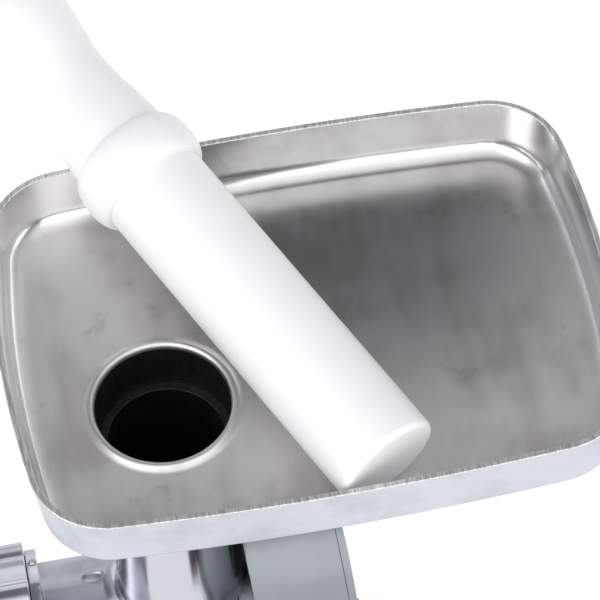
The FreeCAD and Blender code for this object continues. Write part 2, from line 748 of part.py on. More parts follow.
# the two tubes are blended first, then faced off where the head seats on the flange
barrel = rod_x(barrel_radius, mouth_x + thread_length, seat_x + 40, 0, axis_height)
throat = rod_z(throat_radius, throat_x, 0, axis_height, throat_top)
head = barrel.fuse(throat).removeSplitter()
seam = [e for e in head.Edges if e.BoundBox.ZMin > axis_height + 20 and e.BoundBox.ZMax < axis_height + 50
        and e.BoundBox.YLength > throat_radius / 2 and e.BoundBox.XLength > throat_radius]
head = head.makeFillet(throat_blend, seam)
seat_clear = axis_height + flange_radius + free_gap
head = head.cut(block(seat_x, seat_x + 50, -60, 60, axis_height - 60, seat_clear))
throat_back = throat_x + throat_radius
head = head.cut(block(throat_back, throat_back + 50, -60, 60, seat_clear - 1, seat_clear + 30))
head = head.fuse(rod_x(thread_radius, mouth_x, mouth_x + thread_length, 0, axis_height))
collar_x0 = mouth_x + thread_length
head = head.fuse(rod_x(collar_radius, collar_x0, collar_x0 + collar_length, 0, axis_height))
head = head.fuse(rod_x(shank_radius, seat_x - weld, shank_end, 0, axis_height))
collar_bottom = floor_top - collar_drop
shoulder_top = collar_bottom - free_gap
head = head.fuse(rod_z(throat_radius + throat_shoulder, throat_x, 0,
                       shoulder_top - throat_shoulder_height, shoulder_top))
head = head.cut(rod_x(bore_radius, bore_x0 - 1, back_wall, 0, axis_height))
head = head.cut(rod_x(plate_radius + slip_gap, mouth_x - 5, plate_x1, 0, axis_height))
head = head.cut(rod_x(knife_radius + 1.2, mouth_x, chamber_x1, 0, axis_height))
taper = Part.makeCone(knife_radius + 1.2, bore_radius, bore_x0 - chamber_x1,
                      vec(chamber_x1, 0, axis_height), axis_x)
head = head.cut(taper)
head = head.cut(rod_z(neck_bore, throat_x, 0, axis_height, throat_top))
head = head.cut(rod_z(throat_bore, throat_x, 0, axis_height + barrel_radius + 14, throat_top + 1))
bush_radius = journal_radius + 3.0
head = head.cut(rod_x(bush_radius, back_wall - 1, shank_end + 1, 0, axis_height))
key_radius = 1.6
key_z = axis_height + plate_radius - 0.6
key_x1 = plate_x1 + 5.0
head = head.cut(rod_x(key_radius, mouth_x - 1, key_x1, 0, key_z))
save("head_casting", head.removeSplitter())
save("plate_key", rod_x(key_radius, mouth_x + 0.5, key_x1, 0, key_z))
save("auger_bush", tube_x(bush_radius, journal_radius + fit_gap, back_wall, shank_end, 0, axis_height))

# cutting plate: a hexagonal field of holes
plate = rod_x(plate_radius, plate_x0, plate_x1, 0, axis_height)
plate = plate.cut(rod_x(stud_radius + fit_gap, plate_x0 - 1, plate_x1 + 1, 0, axis_height))
plate = plate.cut(rod_x(key_radius + slip_gap, mouth_x - 5, plate_x1 + 1, 0, key_z))
holes = []
rows = int(plate_radius / plate_hole_pitch) + 1
for row in range(-rows, rows + 1):
    for column in range(-rows, rows + 1):
        y = (column + 0.5 * (row % 2)) * plate_hole_pitch
        z = row * plate_hole_pitch * math.sqrt(3) / 2
        reach = math.hypot(y, z)
        if stud_radius + 5 < reach < plate_radius - plate_rim - plate_hole_radius:
            holes.append(rod_x(plate_hole_radius, plate_x0 - 1, plate_x1 + 1, y, axis_height + z))
plate = plate.cut(Part.makeCompound(holes))
save("cutting_plate", plate)

# ring nut with lobes round its rim
nut_x0 = plate_x0 - free_gap - nut_lip
nut_x1 = collar_x0 - free_gap
nut = rod_x(nut_root, nut_x0, nut_x1, 0, axis_height)
for k in range(nut_lobes):
    angle = 2 * math.pi * k / nut_lobes
    lobe_radius = 13.0
    reach = nut_radius - lobe_radius
    nut = nut.fuse(rod_x(lobe_radius, nut_x0, nut_x1, reach * math.cos(angle),
                         axis_height + reach * math.sin(angle)))
nut = nut.removeSplitter()
nut = nut.cut(rod_x(nut_mouth, nut_x0 - 1, nut_x1 + 1, 0, axis_height))
nut = nut.cut(rod_x(thread_radius + fit_gap, plate_x0 - free_gap, nut_x1 + 1, 0, axis_height))
save("ring_nut", nut)

# cross knife on the auger's square
hub_half = knife_square / 2
knife = rod_x(13.5, knife_x0, knife_x1, 0, axis_height)
for k in range(4):
    blade = slab([(-6, 8, 0), (7, 8, 0), (4, knife_radius - 3, 0), (-3, knife_radius - 0.6, 0)],
                 in_yz, knife_x0, knife_depth - 2, axis_x)
    blade.rotate(vec(0, 0, 0), axis_x, k * 90 + 20)
    blade.translate(vec(0, 0, axis_height))
    knife = knife.fuse(blade)
knife = knife.cut(block(knife_x0 - 1, knife_x1 + 1, -hub_half, hub_half,
                        axis_height - hub_half, axis_height + hub_half))
save("cross_knife", knife.removeSplitter())

# auger: square and stud in front, flight, journal and tang behind
core_x0 = knife_x1
core_x1 = back_wall - 1.0
auger = Part.makeCone(core_radius, core_radius + 3, core_x1 - core_x0, vec(core_x0, 0, axis_height), axis_x)
helix_x0 = bore_x0 + flight_thickness
helix_length = core_x1 - flight_thickness - helix_x0
helix = Part.makeHelix(flight_pitch, helix_length, flight_radius - 8)
section = Part.makePolygon([
    vec(core_radius - 1, 0, -flight_thickness), vec(flight_radius, 0, -flight_thickness / 2),
    vec(flight_radius, 0, flight_thickness / 2), vec(core_radius - 1, 0, flight_thickness),
    vec(core_radius - 1, 0, -flight_thickness)])
flight = Part.Wire(helix.Edges).makePipeShell([section], True, True)
flight = placed(flight, vec(helix_x0, 0, axis_height), axis_x)
journal_end = shank_end + 0.5
auger = auger.fuse(rod_x(journal_radius, core_x1 - weld, journal_end, 0, axis_height))
tang_half = tang_square / 2
auger = auger.fuse(block(journal_end - weld, nose_x + tang_length - 1, -tang_half, tang_half,
                         axis_height - tang_half, axis_height + tang_half))
auger = auger.fuse(block(knife_x0, core_x0 + weld, -hub_half, hub_half,
                         axis_height - hub_half, axis_height + hub_half))
auger = auger.fuse(rod_x(stud_radius, plate_x0 + 1, knife_x0 + weld, 0, axis_height))
auger = auger.removeSplitter().fuse(flight)
save("auger", auger.removeSplitter())

# clamp screw that holds the head in its socket
lock_stud = rod(lock_radius, lock_length - shank_radius - 1, vec(lock_x, -lock_length, axis_height), axis_y)
save("lock_stud", lock_stud)
grip_y = -half_width - 4.0
grip = rod(13.0, 28, vec(lock_x, grip_y - 28, axis_height), axis_y)
for k in range(5):
    angle = 2 * math.pi * k / 5
    grip = grip.fuse(rod(6.0, 24, vec(lock_x + 13 * math.cos(angle), grip_y - 26,
                                      axis_height + 13 * math.sin(angle)), axis_y))
grip = grip.removeSplitter().cut(rod(lock_radius, 60, vec(lock_x, -lock_length, axis_height), axis_y))
save("lock_grip", grip.removeSplitter())


# ------------------------------------------------------------------ tray
tray_x = throat_x + tray_offset_x
tray_y = tray_offset_y


def tray_outline(inset, z):
    """Rounded rectangle whose sides bow outwards, as four big arcs and four corner arcs."""
    half_l = tray_length / 2 - tray_corner
    half_w = tray_width / 2 - tray_corner
    radius = tray_corner - inset
    corners = [(half_l, -half_w), (half_l, half_w), (-half_l, half_w), (-half_l, -half_w)]
    bows = [(1, 0, tray_bow_short), (0, 1, tray_bow_long), (-1, 0, tray_bow_short), (0, -1, tray_bow_long)]
    edges = []
    arcs = []
    for i in range(4):
        x0, y0 = corners[i]
        x1, y1 = corners[(i + 1) % 4]
        ox, oy, bow = bows[i]
        half = math.hypot(x1 - x0, y1 - y0) / 2
        big = (half * half + bow * bow) / (2 * bow)
        cx = (x0 + x1) / 2 - ox * (big - bow)
        cy = (y0 + y1) / 2 - oy * (big - bow)
        scale = (big + radius) / big
        start = vec(cx + (x0 - cx) * scale, cy + (y0 - cy) * scale, 0)
        end = vec(cx + (x1 - cx) * scale, cy + (y1 - cy) * scale, 0)
        middle = vec(cx + ox * (big + radius), cy + oy * (big + radius), 0)
        arcs.append((start, middle, end))
    for i in range(4):
        start, middle, end = arcs[i]
        edges.append(Part.Arc(start, middle, end).toShape())
        next_start = arcs[(i + 1) % 4][0]
        corner = vec(corners[(i + 1) % 4][0], corners[(i + 1) % 4][1], 0)
        towards = end.sub(corner).add(next_start.sub(corner)).normalize()
        edges.append(Part.Arc(end, corner.add(towards * radius), next_start).toShape())
    wire = Part.Wire(edges)
    wire.translate(vec(tray_x, tray_y, z))
    return wire


def tray_form(inset, bottom, radius):
    drop = rim_z - bottom
    lean = tray_draft * drop / tray_depth
    over = 2.0 if inset else 0.0
    slope = tray_draft / tray_depth
    form = Part.makeLoft([tray_outline(inset + lean, bottom),
                          tray_outline(inset - over * slope, rim_z + over)], True, True)
    low = [e for e in form.Edges if e.BoundBox.ZMax < bottom + 0.1]
    return form.makeFillet(radius, low)


tray = tray_form(0.0, tray_bottom, 3.0).cut(tray_form(tray_rim, floor_top, tray_fillet))
tray_collar = rod_z(tray_collar_radius, throat_x, 0, collar_bottom, floor_top - 1)
lip = turned([(-1, 0), (-1, tray_hole + tray_lip_width + 1), (0, tray_hole + tray_lip_width),
              (tray_lip_height * 0.8, tray_hole + tray_lip_width - 1.6),
              (tray_lip_height, tray_hole + tray_lip_width / 2),
              (tray_lip_height * 0.8, tray_hole + 0.8), (0, tray_hole), (0, 0)],
             vec(throat_x, 0, floor_top), axis_z)
tray = tray.fuse(tray_collar).fuse(lip)
tray = tray.cut(rod_z(tray_hole, throat_x, 0, collar_bottom - 1, floor_top + 10))
tray = tray.removeSplitter()
save("feed_tray", tray)

# ---------------------------------------------------------------- pusher
ring_start = pusher_body_length
ring_end = ring_start + pusher_ring_length
ring_middle = (ring_start + ring_end) / 2
pusher_end = ring_end + pusher_handle_length
waist_at = ring_end + 46.0
end_round = 3.0


def at(s, r):
    return vec(r, 0, s)


handle_curve = Part.BSplineCurve()
handle_curve.interpolate([
    at(ring_end, pusher_radius - 0.3), at(ring_end + 20, (pusher_radius + pusher_waist) / 2 - 0.6),
    at(waist_at, pusher_waist), at(pusher_end - 36, (pusher_waist + pusher_head) / 2),
    at(pusher_end - 16, pusher_head)])
dome_flat = 4.0
dome_mid = at(pusher_end - 5.2, pusher_head * 0.74)
outline = [
    Part.LineSegment(at(0, 0), at(0, pusher_radius - end_round)).toShape(),
    Part.Arc(at(0, pusher_radius - end_round), at(end_round * 0.293, pusher_radius - end_round * 0.293),
             at(end_round, pusher_radius)).toShape(),
    Part.LineSegment(at(end_round, pusher_radius), at(ring_start, pusher_radius)).toShape(),
    Part.Arc(at(ring_start, pusher_radius), at(ring_middle, pusher_ring_radius),
             at(ring_end, pusher_radius - 0.3)).toShape(),
    handle_curve.toShape(),
    Part.Arc(at(pusher_end - 16, pusher_head), dome_mid, at(pusher_end, dome_flat)).toShape(),
    Part.LineSegment(at(pusher_end, dome_flat), at(pusher_end, 0)).toShape(),
    Part.LineSegment(at(pusher_end, 0), at(0, 0)).toShape()]
pusher = Part.Face(Part.Wire(outline)).revolve(vec(0, 0, 0), axis_z, 360)

# it leans from the tray floor, at its tip, to the back rim, under its waist
turn = math.radians(pusher_turn)
tilt = 0.1
for step in range(12):
    tip_z = floor_top + pusher_radius * math.cos(tilt) + free_gap
    back_edge = tray_width / 2 + tray_bow_long - pusher_tip_y
    run = back_edge / math.sin(turn)
    rest_z = rim_z + pusher_waist / math.cos(tilt) + rest_gap
    tilt = math.atan2(rest_z - tip_z, run)
heading = vec(math.cos(turn) * math.cos(tilt), math.sin(turn) * math.cos(tilt), math.sin(tilt))
pusher = placed(pusher, vec(tray_x + pusher_tip_x, tray_y + pusher_tip_y, tip_z), heading)
save("pusher", pusher)
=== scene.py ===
import json
import math
import random

import bpy
from mathutils import Matrix, Vector

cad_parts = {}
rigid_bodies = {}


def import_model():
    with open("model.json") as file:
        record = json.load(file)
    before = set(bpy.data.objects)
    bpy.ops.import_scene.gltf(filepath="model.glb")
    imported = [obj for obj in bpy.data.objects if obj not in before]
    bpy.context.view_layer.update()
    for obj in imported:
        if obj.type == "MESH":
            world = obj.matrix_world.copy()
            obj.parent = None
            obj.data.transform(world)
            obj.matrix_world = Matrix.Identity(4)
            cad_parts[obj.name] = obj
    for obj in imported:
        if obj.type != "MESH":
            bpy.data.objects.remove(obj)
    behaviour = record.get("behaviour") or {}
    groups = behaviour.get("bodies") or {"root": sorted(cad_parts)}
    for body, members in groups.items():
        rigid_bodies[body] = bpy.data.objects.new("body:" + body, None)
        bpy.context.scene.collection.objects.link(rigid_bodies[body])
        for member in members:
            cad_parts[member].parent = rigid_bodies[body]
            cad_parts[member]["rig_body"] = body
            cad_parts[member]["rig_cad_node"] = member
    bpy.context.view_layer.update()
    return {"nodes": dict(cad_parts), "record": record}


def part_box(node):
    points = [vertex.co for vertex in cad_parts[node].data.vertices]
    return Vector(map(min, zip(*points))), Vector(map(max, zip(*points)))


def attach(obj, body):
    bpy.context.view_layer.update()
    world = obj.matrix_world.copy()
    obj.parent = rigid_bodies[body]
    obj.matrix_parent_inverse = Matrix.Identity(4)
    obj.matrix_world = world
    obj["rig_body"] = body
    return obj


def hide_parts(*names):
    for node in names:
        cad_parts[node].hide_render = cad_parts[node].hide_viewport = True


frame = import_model()
mm = 0.001
print("frame loaded:", len(frame["nodes"]), "nodes")

trayLow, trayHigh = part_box("feed_tray")
bushLow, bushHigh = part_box("auger_bush")
trayCentre = Vector(((trayLow.x + trayHigh.x) / 2, (trayLow.y + trayHigh.y) / 2, trayHigh.z))
barrelZ = (bushLow.z + bushHigh.z) / 2
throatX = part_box("socket_flange")[0].x - 27.4 * mm  # the throat stands this far before its socket


# camera: above the front left corner of the tray, turned a little about its own line of sight
view = {"azimuth": -7.986, "elevation": 54.784, "roll": -3.174,
        "lens": 218.52, "distance": 1.8265, "aimX": -1.168 * mm, "aimY": 3.951 * mm}


def makeCamera():
    azimuth, elevation, roll = (math.radians(view[k]) for k in ("azimuth", "elevation", "roll"))
    back = Vector((math.sin(azimuth) * math.cos(elevation), -math.cos(azimuth) * math.cos(elevation),
                   math.sin(elevation)))
    right = Vector((math.cos(azimuth), math.sin(azimuth), 0))
    up = back.cross(right)
    rolledRight = right * math.cos(roll) + up * math.sin(roll)
    rolledUp = up * math.cos(roll) - right * math.sin(roll)
    spot = trayCentre + Vector((view["aimX"], view["aimY"], 0)) + back * view["distance"]
    data = bpy.data.cameras.new("camera")
    data.lens = view["lens"]
    data.sensor_width = 36
    data.clip_start = 0.05
    data.clip_end = 50
    camera = bpy.data.objects.new("camera", data)
    bpy.context.scene.collection.objects.link(camera)
    turned = Matrix((rolledRight, rolledUp, back)).transposed().to_4x4()
    camera.matrix_world = Matrix.Translation(spot) @ turned
    bpy.context.scene.camera = camera


def linear(hexColour):
    parts = [int(hexColour[i:i + 2], 16) / 255 for i in (1, 3, 5)]
    return [p / 12.92 if p <= 0.04045 else ((p + 0.055) / 1.055) ** 2.4 for p in parts] + [1.0]


def perMetre(sizeInMm):
    return 1000.0 / sizeInMm


def addNode(tree, kind, settings=None, links=None):
    # settings are properties or input values; a link names an input and the node or socket that feeds it
    node = tree.nodes.new(kind)
    for key, value in (settings or {}).items():
        if isinstance(key, str) and hasattr(node, key):
            setattr(node, key, value)
        else:
            node.inputs[key].default_value = value
    for key, source in (links or {}).items():
        tree.links.new(source.outputs[0] if hasattr(source, "outputs") else source, node.inputs[key])
    return node


def startMaterial(name, metallic, roughness, hexColour):
    material = bpy.data.materials.new(name)
    material.use_nodes = True
    tree = material.node_tree
    shader = tree.nodes["Principled BSDF"]
    shader.inputs["Metallic"].default_value = metallic
    shader.inputs["Roughness"].default_value = roughness
    shader.inputs["Base Color"].default_value = linear(hexColour)
    place = addNode(tree, "ShaderNodeTexCoord").outputs["Object"]
    return material, tree, shader, place


def feed(tree, shader, colour=None, rough=None, normal=None):
    for name, source in (("Base Color", colour), ("Roughness", rough), ("Normal", normal)):
        if source:
            tree.links.new(source, shader.inputs[name])


def polishedAluminiumPaintedShade():
    # cast dish: cloudy satin on the sanded floor and mirror walls; the floor's colour is painted shade, darker round
    # a spot towards the far right and lighter towards its near side, standing in for reflections and shade
    look = {"paintedShadeFloor": "#bab9b8", "paintedLitFloor": "#e4e2e1", "cloud": "#e2e0de", "stain": "#6f6662", "mirror": "#eeeef0",
            "paintedShadeX": 42, "paintedShadeY": 74, "paintedShadeReach": 25, "paintedLitReach": 165, "floorDrop": 33, "wallStart": 0.2,
            "wallEnd": 5.0, "floorRough": 0.24, "cloudRough": 0.19, "nearRough": 0.52, "wallRough": 0.10,
            "cloudSize": 55,
            "streakSize": 14, "streakShare": 0.26, "stainSize": 22, "lineSize": 0.9, "lineDepth": 0.012,
            "waveSize": 26, "waveDepth": 0.16}
    material, tree, shader, place = startMaterial("aluminiumPolishedPaintedShade", 1.0, 0.3, look["paintedLitFloor"])
    floorZ = trayHigh.z - look["floorDrop"] * mm
    height = addNode(tree, "ShaderNodeSeparateXYZ", None, {"Vector": place}).outputs["Z"]
    wall = addNode(tree, "ShaderNodeMapRange",
                   {"interpolation_type": "SMOOTHSTEP", "From Min": floorZ + look["wallStart"] * mm,
                    "From Max": floorZ + look["wallEnd"] * mm}, {"Value": height})
    # painted shade: the centre of the darker patch on the floor, standing in for reflections and shade
    paintedShadeCentre = (trayCentre.x + look["paintedShadeX"] * mm, trayCentre.y + look["paintedShadeY"] * mm, floorZ)
    away = addNode(tree, "ShaderNodeVectorMath", {"operation": "DISTANCE", 1: paintedShadeCentre},
                   {0: place}).outputs["Value"]
    # painted shade fading out, 0 at the dark spot and 1 on the lighter near side; it also sets the floor's roughness
    paintedShadeFade = addNode(tree, "ShaderNodeMapRange",
                     {"interpolation_type": "SMOOTHSTEP", "From Min": look["paintedShadeReach"] * mm,
                      "From Max": look["paintedLitReach"] * mm}, {"Value": away})
    cloud = addNode(tree, "ShaderNodeTexNoise", {"Scale": perMetre(look["cloudSize"]), "Detail": 4.0},
                    {"Vector": place})
    drawn = addNode(tree, "ShaderNodeMapping", {"Scale": (1, 0.16, 1)}, {"Vector": place})
    streak = addNode(tree, "ShaderNodeTexNoise", {"Scale": perMetre(look["streakSize"]), "Detail": 3.0},
                     {"Vector": drawn})
    mottle = addNode(tree, "ShaderNodeMix", {"data_type": "FLOAT", 0: look["streakShare"]},
                     {2: cloud, 3: streak})
    cloudy = addNode(tree, "ShaderNodeMapRange",
                     {"interpolation_type": "SMOOTHSTEP", "From Min": 0.40, "From Max": 0.62}, {"Value": mottle})
    spots = addNode(tree, "ShaderNodeTexNoise",
                    {"Scale": perMetre(look["stainSize"]), "Detail": 5.0, "Roughness": 0.6}, {"Vector": place})
    stained = addNode(tree, "ShaderNodeMapRange",
                      {"interpolation_type": "SMOOTHSTEP", "From Min": 0.60, "From Max": 0.78, "To Max": 0.35},
                      {"Value": spots})
    # floor colour runs from the painted shade at the far spot to the painted light on the near side
    ground = addNode(tree, "ShaderNodeMix",
                     {"data_type": "RGBA", 6: linear(look["paintedShadeFloor"]), 7: linear(look["paintedLitFloor"])},
                     {0: paintedShadeFade}).outputs[2]
    clouded = addNode(tree, "ShaderNodeMix",
                      {"data_type": "RGBA", "blend_type": "MULTIPLY", 7: linear(look["cloud"])},
                      {0: cloudy, 6: ground}).outputs[2]
    marked = addNode(tree, "ShaderNodeMix", {"data_type": "RGBA", 7: linear(look["stain"])},
                     {0: stained, 6: clouded}).outputs[2]
    colour = addNode(tree, "ShaderNodeMix", {"data_type": "RGBA", 7: linear(look["mirror"])},
                     {0: wall, 6: marked}).outputs[2]
    floorRough = addNode(tree, "ShaderNodeMapRange",
                         {"From Min": 0.38, "From Max": 0.64, "To Min": look["floorRough"],
                          "To Max": look["cloudRough"]}, {"Value": mottle})
    settled = addNode(tree, "ShaderNodeMix", {"data_type": "FLOAT", 3: look["nearRough"]},
                      {0: paintedShadeFade, 2: floorRough})
    rough = addNode(tree, "ShaderNodeMix", {"data_type": "FLOAT", 3: look["wallRough"]}, {0: wall, 2: settled})
    sanded = addNode(tree, "ShaderNodeMapping", {"Scale": (1, 0.03, 1)}, {"Vector": place})
    lines = addNode(tree, "ShaderNodeTexNoise", {"Scale": perMetre(look["lineSize"])}, {"Vector": sanded})
    onFloor = addNode(tree, "ShaderNodeMix", {"data_type": "FLOAT", 3: 0.5}, {0: wall, 2: lines})
    first = addNode(tree, "ShaderNodeBump", {"Distance": look["lineDepth"] * mm}, {"Height": onFloor})
    waves = addNode(tree, "ShaderNodeTexNoise", {"Scale": perMetre(look["waveSize"]), "Roughness": 0.4},
                    {"Vector": place})
    both = addNode(tree, "ShaderNodeBump", {"Distance": look["waveDepth"] * mm},
                   {"Height": waves, "Normal": first})
    feed(tree, shader, colour, rough.outputs[0], both.outputs[0])
    return material


def groundRimAluminium():
    # the rim is taken flat on a belt: fine short slanting scratches over a pale satin
    look = {"metal": "#e6e6e4", "dark": "#b9babc", "scratch": 1.1, "turn": 38, "depth": 0.05}
    material, tree, shader, place = startMaterial("aluminiumBeltGround", 1.0, 0.5, look["metal"])
    turned = addNode(tree, "ShaderNodeMapping",
                     {"Rotation": (0, 0, math.radians(look["turn"])), "Scale": (1, 0.09, 1)}, {"Vector": place})
    lines = addNode(tree, "ShaderNodeTexNoise", {"Scale": perMetre(look["scratch"]), "Detail": 4.0},
                    {"Vector": turned})
    worn = addNode(tree, "ShaderNodeMapRange", {"From Min": 0.36, "From Max": 0.62}, {"Value": lines})
    colour = addNode(tree, "ShaderNodeMix",
                     {"data_type": "RGBA", 6: linear(look["dark"]), 7: linear(look["metal"])},
                     {0: worn}).outputs[2]
    normal = addNode(tree, "ShaderNodeBump", {"Distance": look["depth"] * mm}, {"Height": lines})
    feed(tree, shader, colour, None, normal.outputs[0])
    return material


def linishedAluminium():
    # outside of the dish: linished and tumbled, so it is pale and even with faint marks
    look = {"metal": "#cdd0d8", "mark": "#bfc3cb", "markSize": 30, "grain": 0.8, "depth": 0.01}
    material, tree, shader, place = startMaterial("aluminiumLinished", 1.0, 0.38, look["metal"])
    marks = addNode(tree, "ShaderNodeTexNoise",
                    {"Scale": perMetre(look["markSize"]), "Detail": 4.0, "Roughness": 0.6}, {"Vector": place})
    marked = addNode(tree, "ShaderNodeMapRange", {"From Min": 0.45, "From Max": 0.7}, {"Value": marks})
    colour = addNode(tree, "ShaderNodeMix",
                     {"data_type": "RGBA", 6: linear(look["metal"]), 7: linear(look["mark"])},
                     {0: marked}).outputs[2]
    rough = addNode(tree, "ShaderNodeMapRange",
                    {"From Min": 0.3, "From Max": 0.7, "To Min": 0.34, "To Max": 0.46},
                    {"Value": marks})
    grain = addNode(tree, "ShaderNodeTexNoise", {"Scale": perMetre(look["grain"])}, {"Vector": place})
    normal = addNode(tree, "ShaderNodeBump", {"Distance": look["depth"] * mm}, {"Height": grain})
    feed(tree, shader, colour, rough.outputs[0], normal.outputs[0])
    return material


def tumbledCastAluminium():
    # barrel and nut as they left the mould, grainy and dull; the throat above is buffed bright
    look = {"cast": "#b6b9c1", "dull": "#979ca4", "bright": "#c6c8cf", "castRough": 0.46, "brightRough": 0.14,
            "grain": 1.1, "grainDepth": 0.16, "patch": 14, "wave": 30, "waveDepth": 0.25,
            "turnHeight": 34, "turnDepth": 14}
    material, tree, shader, place = startMaterial("aluminiumTumbledCasting", 1.0, 0.4, look["cast"])
    height = addNode(tree, "ShaderNodeSeparateXYZ", None, {"Vector": place}).outputs["Z"]
    turnZ = barrelZ + look["turnHeight"] * mm
    bright = addNode(tree, "ShaderNodeMapRange",
                     {"interpolation_type": "SMOOTHSTEP", "From Min": turnZ,
                      "From Max": turnZ + look["turnDepth"] * mm}, {"Value": height})
    patch = addNode(tree, "ShaderNodeTexNoise",
                    {"Scale": perMetre(look["patch"]), "Detail": 5.0, "Roughness": 0.6}, {"Vector": place})
    dulled = addNode(tree, "ShaderNodeMapRange", {"From Min": 0.42, "From Max": 0.68}, {"Value": patch})
    cast = addNode(tree, "ShaderNodeMix",
                   {"data_type": "RGBA", 6: linear(look["cast"]), 7: linear(look["dull"])},
                   {0: dulled}).outputs[2]
    colour = addNode(tree, "ShaderNodeMix", {"data_type": "RGBA", 7: linear(look["bright"])},
                     {0: bright, 6: cast}).outputs[2]
    rough = addNode(tree, "ShaderNodeMix", {"data_type": "FLOAT", 2: look["castRough"], 3: look["brightRough"]},
                    {0: bright})
    grain = addNode(tree, "ShaderNodeTexNoise",
                    {"Scale": perMetre(look["grain"]), "Detail": 3.0, "Roughness": 0.6}, {"Vector": place})
    onCast = addNode(tree, "ShaderNodeMix", {"data_type": "FLOAT", 3: 0.5}, {0: bright, 2: grain})
    first = addNode(tree, "ShaderNodeBump", {"Distance": look["grainDepth"] * mm}, {"Height": onCast})
    waves = addNode(tree, "ShaderNodeTexNoise",
                    {"Scale": perMetre(look["wave"]), "Detail": 1.0, "Roughness": 0.4}, {"Vector": place})
    both = addNode(tree, "ShaderNodeBump", {"Distance": look["waveDepth"] * mm},
                   {"Height": waves, "Normal": first})
    feed(tree, shader, colour, rough.outputs[0], both.outputs[0])
    return material


def whitePolypropylene():
    # moulded pusher: soft white, semi-gloss, with a faint orange peel and scuffs
    look = {"white": "#eeeeef", "scuff": "#e9eaeb", "peel": 2.2, "peelDepth": 0.012, "scuffSize": 9}
    material, tree, shader, place = startMaterial("polypropyleneMouldedWhite", 0.0, 0.34, look["white"])
    shader.inputs["IOR"].default_value = 1.49
    shader.inputs["Subsurface Weight"].default_value = 0.18
    shader.inputs["Subsurface Radius"].default_value = (0.006, 0.006, 0.005)
    shader.inputs["Subsurface Scale"].default_value = 0.6
    scuffs = addNode(tree, "ShaderNodeTexNoise",
                     {"Scale": perMetre(look["scuffSize"]), "Detail": 5.0, "Roughness": 0.65}, {"Vector": place})
    scuffed = addNode(tree, "ShaderNodeMapRange", {"From Min": 0.52, "From Max": 0.75}, {"Value": scuffs})
    colour = addNode(tree, "ShaderNodeMix",
                     {"data_type": "RGBA", 6: linear(look["white"]), 7: linear(look["scuff"])},
                     {0: scuffed}).outputs[2]
    rough = addNode(tree, "ShaderNodeMapRange",
                    {"From Min": 0.3, "From Max": 0.7, "To Min": 0.30, "To Max": 0.42},
                    {"Value": scuffs})
    peel = addNode(tree, "ShaderNodeTexNoise", {"Scale": perMetre(look["peel"])}, {"Vector": place})
    normal = addNode(tree, "ShaderNodeBump", {"Distance": look["peelDepth"] * mm}, {"Height": peel})
    feed(tree, shader, colour, rough.outputs[0], normal.outputs[0])
    return material


def workedSurface(name, metallic, colours, rough, patchInMm, grainInMm, stretch=(1, 1, 1), depth=0.02,
                  ior=None):
    # plain metals and mouldings: a base, a second tone in patches, a directional or even grain
    material, tree, shader, place = startMaterial(name, metallic, rough, colours[0])
    if ior:
        shader.inputs["IOR"].default_value = ior
    patch = addNode(tree, "ShaderNodeTexNoise",
                    {"Scale": perMetre(patchInMm), "Detail": 4.0, "Roughness": 0.6}, {"Vector": place})
    toned = addNode(tree, "ShaderNodeMapRange", {"From Min": 0.4, "From Max": 0.7}, {"Value": patch})
    colour = addNode(tree, "ShaderNodeMix", {"data_type": "RGBA", 6: linear(colours[0]), 7: linear(colours[1])},
                     {0: toned}).outputs[2]
    uneven = addNode(tree, "ShaderNodeMapRange",
                     {"From Min": 0.3, "From Max": 0.7, "To Min": rough - 0.04, "To Max": rough + 0.08},
                     {"Value": patch})
    drawn = addNode(tree, "ShaderNodeMapping", {"Scale": stretch}, {"Vector": place})
    grain = addNode(tree, "ShaderNodeTexNoise", {"Scale": perMetre(grainInMm), "Detail": 3.0},
                    {"Vector": drawn})
    normal = addNode(tree, "ShaderNodeBump", {"Distance": depth * mm}, {"Height": grain})
    feed(tree, shader, colour, uneven.outputs[0], normal.outputs[0])
    return material


